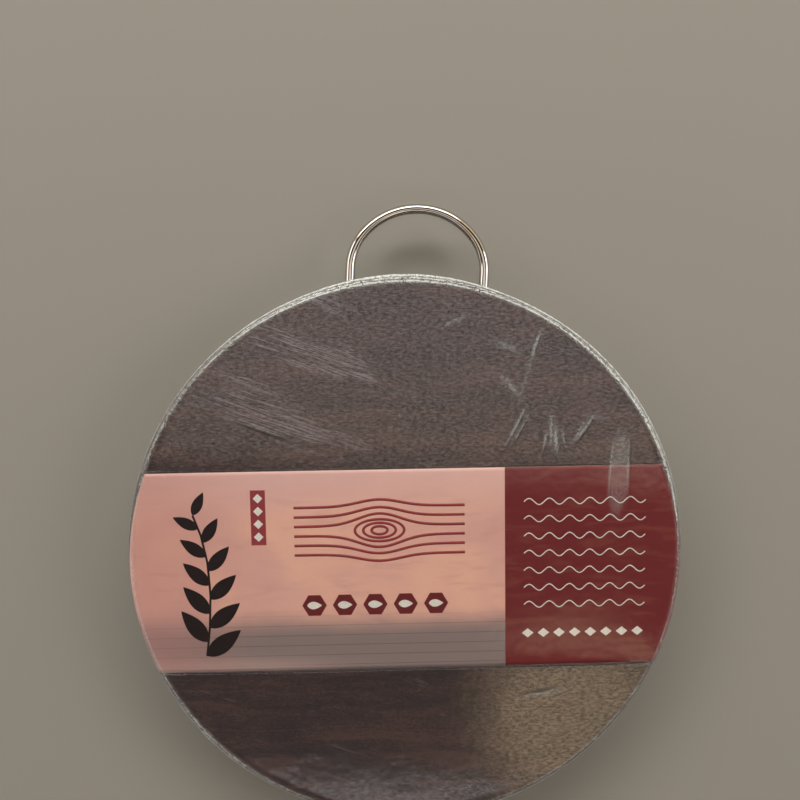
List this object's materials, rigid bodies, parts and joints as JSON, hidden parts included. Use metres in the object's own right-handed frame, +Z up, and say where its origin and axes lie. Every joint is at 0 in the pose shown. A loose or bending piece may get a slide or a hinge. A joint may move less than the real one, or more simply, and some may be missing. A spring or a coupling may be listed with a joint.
{
  "type": "round chopping block",
  "caption": "Round hardwood chopping block with a bent steel rod handle driven into its rim, a printed card band across its face and a clear shrink film round it.",
  "frame": {"origin": "centre of the film's flat underside, on the disc's axis, where the block rests on a table", "axes": "+Z up out of the chopping face, +Y towards the steel handle, +X to the right seen from above with the handle at the top"},
  "size_m": [0.3022, 0.3405, 0.0358],
  "materials": {
    "oiled_heartwood": "planed and oiled",
    "polished_stainless": "polished",
    "coated_card": "printed and coated",
    "clear_film": "clear and glossy"
  },
  "bodies": {
    "root": {"block": "oiled_heartwood", "handle": "polished_stainless", "label_card": "coated_card", "shrink_film": "clear_film"}
  },
  "joints": []
}
